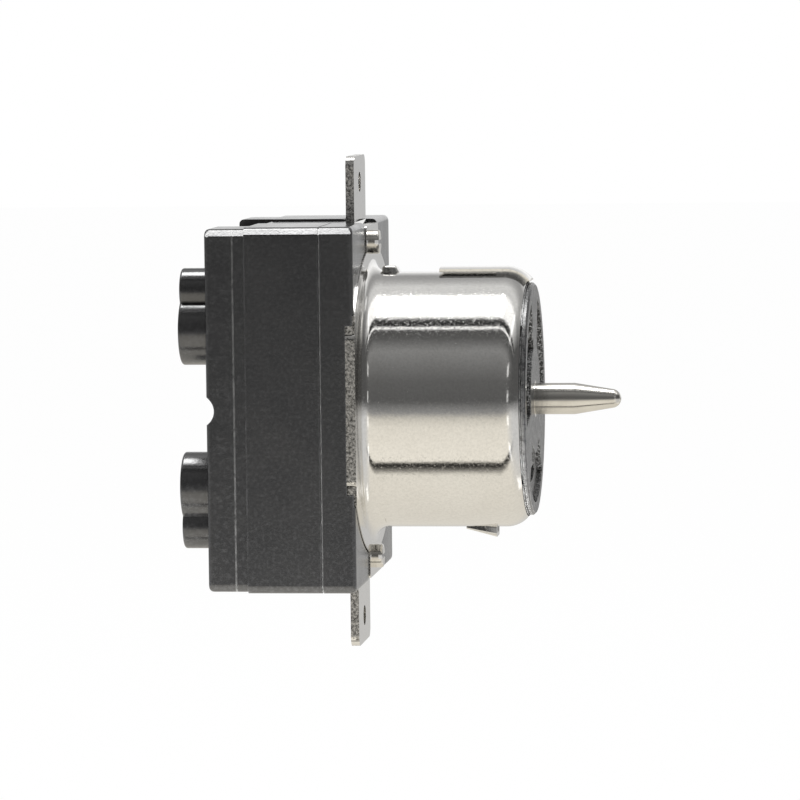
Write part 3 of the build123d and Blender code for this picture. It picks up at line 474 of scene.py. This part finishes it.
# Room: its tone goes by the angle in degrees round the object's long axis, from straight down (-90)
# past the camera's side (0), up overhead (90) and down behind (180), and evens out towards both ends
# of that axis. A window with bars stands near the front end. To the camera the room is plain white.
warm_table = (1.0, 0.955, 0.86)
warm_angles = (-160.0, -10.0)
room_by_angle = (
    (-178.0, 0.56), (-150.0, 0.86), (-84.0, 1.0), (-68.0, 1.0), (-63.5, 0.34), (-59.5, 0.05),
    (-55.8, 0.04), (-53.4, 1.12), (-22.0, 1.02), (-14.0, 0.8), (-8.0, 0.34), (2.0, 0.13),
    (20.0, 0.15), (34.0, 0.22), (48.0, 0.3), (60.0, 0.13), (69.0, 0.1), (70.0, 1.5),
    (71.6, 1.5), (72.8, 0.02), (79.5, 0.06), (81.0, 0.22), (83.2, 1.4), (107.5, 1.5),
    (110.8, 1.2), (114.2, 0.8), (126.0, 0.84), (134.0, 0.6), (143.0, 0.42), (152.0, 0.38),
    (172.0, 1.15), (179.5, 0.9),
)
end_start = (0.6, 0.9)
end_horizon = (-0.16, 0.0)
end_levels = (0.8, 0.11)
window_along = 0.7
window_edge = (0.06, 0.03)
pane_closeness = 19.0
pane_edge = (0.0, 0.6)
pane_level = 0.7
world = bpy.data.worlds.new("studio_room")
bpy.context.scene.world = world
world.use_nodes = True
tree = world.node_tree
along, across, upright = split_vector(tree, tree.nodes.new("ShaderNodeTexCoord").outputs["Generated"])
turn = calculate(tree, "ARCTAN2", upright, multiply(tree, across, -1.0))
tones = tree.nodes.new("ShaderNodeValToRGB")
tree.links.new(remap(tree, turn, (-math.pi, math.pi), (0.0, 1.0)), tones.inputs["Fac"])
stops = tones.color_ramp.elements
while len(stops) > 1:
    stops.remove(stops[0])
top_tone = max(level for angle, level in room_by_angle)
for index, (angle, level) in enumerate(room_by_angle):
    spot = (angle + 180.0) / 360.0
    stop = stops[0] if index == 0 else stops.new(spot)
    stop.position = spot
    tint = warm_table if warm_angles[0] < angle < warm_angles[1] else (1.0, 1.0, 1.0)
    stop.color = (*(level / top_tone * part for part in tint), 1.0)
at_end = remap(tree, calculate(tree, "ABSOLUTE", along), end_start, (0.0, 1.0))
room_light = tree.nodes["Background"]
room_tone = blend_colours(tree, at_end, tones.outputs["Color"], (0.0, 0.0, 0.0, 1.0))
tree.links.new(room_tone, room_light.inputs["Color"])
room_light.inputs["Strength"].default_value = top_tone
end_tone = remap(tree, upright, end_horizon, end_levels)
off_window = calculate(tree, "ABSOLUTE", calculate(tree, "SUBTRACT", along, window_along))
window = remap(tree, off_window, window_edge, (0.0, 1.0))
rows = calculate(tree, "SINE", multiply(tree, upright, pane_closeness))
panes = remap(tree, rows, pane_edge, (0.0, pane_level))
end_light = tree.nodes.new("ShaderNodeBackground")
end_light.inputs["Color"].default_value = (1.0, 1.0, 1.0, 1.0)
end_level = add_up(tree, multiply(tree, at_end, end_tone), multiply(tree, window, panes))
tree.links.new(end_level, end_light.inputs["Strength"])
both = tree.nodes.new("ShaderNodeAddShader")
tree.links.new(room_light.outputs[0], both.inputs[0])
tree.links.new(end_light.outputs[0], both.inputs[1])
white = tree.nodes.new("ShaderNodeBackground")
white.inputs["Color"].default_value = (1.0, 1.0, 1.0, 1.0)
path = tree.nodes.new("ShaderNodeLightPath")
clear = calculate(tree, "MAXIMUM", path.outputs["Is Camera Ray"], path.outputs["Is Transmission Ray"])
backdrop = tree.nodes.new("ShaderNodeMixShader")
tree.links.new(clear, backdrop.inputs["Fac"])
tree.links.new(both.outputs[0], backdrop.inputs[1])
tree.links.new(white.outputs[0], backdrop.inputs[2])
tree.links.new(backdrop.outputs[0], tree.nodes["World Output"].inputs["Surface"])

# Lamps: one long softbox almost overhead, along the object's axis, and a low strip near the floor that
# stands for the light a pale table throws back on the lower half of the black body.
softbox_size = (0.45, 0.3)
softbox_power = 3.9
softbox_aim = math.radians(97.0)
softbox_distance = 0.75
softbox_along = -0.055
glow_size = (0.2, 0.05)
glow_power = 0.6
glow_place = (-0.02, -0.062, -0.092)
glow_aim = math.radians(155.0)


def hang_lamp(name, size, power, lamp_place, tilt):
    lamp = bpy.data.lights.new(name, "AREA")
    lamp.shape = "RECTANGLE"
    lamp.size, lamp.size_y = size
    lamp.energy = power
    holder = bpy.data.objects.new(name, lamp)
    bpy.context.scene.collection.objects.link(holder)
    holder.location = lamp_place
    holder.rotation_euler = (tilt, 0.0, 0.0)
    return holder


softbox_place = (
    softbox_along, -softbox_distance * math.cos(softbox_aim), softbox_distance * math.sin(softbox_aim)
)
hang_lamp("softbox", softbox_size, softbox_power, softbox_place, softbox_aim - math.radians(90.0))
table_glow = hang_lamp("table_glow", glow_size, glow_power, glow_place, glow_aim)
table_glow.visible_glossy = False
table_glow.visible_camera = False

# Camera: a long lens, a little to the front side and a little above the axis, as the photo was taken.
photo_azimuth = math.radians(6.5)
photo_elevation = math.radians(4.3)
photo_roll = math.radians(0.65)
photo_distance = 0.95
photo_centre = Vector((0.0089, 0.0, -0.0002))
photo_lens = 223.2
camera_data = bpy.data.cameras.new("camera")
camera_data.lens = photo_lens
camera_data.sensor_width = 36.0
camera = bpy.data.objects.new("camera", camera_data)
bpy.context.scene.collection.objects.link(camera)
away = Vector((
    math.sin(photo_azimuth) * math.cos(photo_elevation),
    -math.cos(photo_azimuth) * math.cos(photo_elevation),
    math.sin(photo_elevation),
))
aim = (-away).to_track_quat("-Z", "Y").to_matrix().to_4x4()
stand = Matrix.Translation(photo_centre + away * photo_distance)
camera.matrix_world = stand @ aim @ Matrix.Rotation(-photo_roll, 4, "Z")
bpy.context.scene.camera = camera

bpy.context.scene.view_settings.view_transform = "Standard"
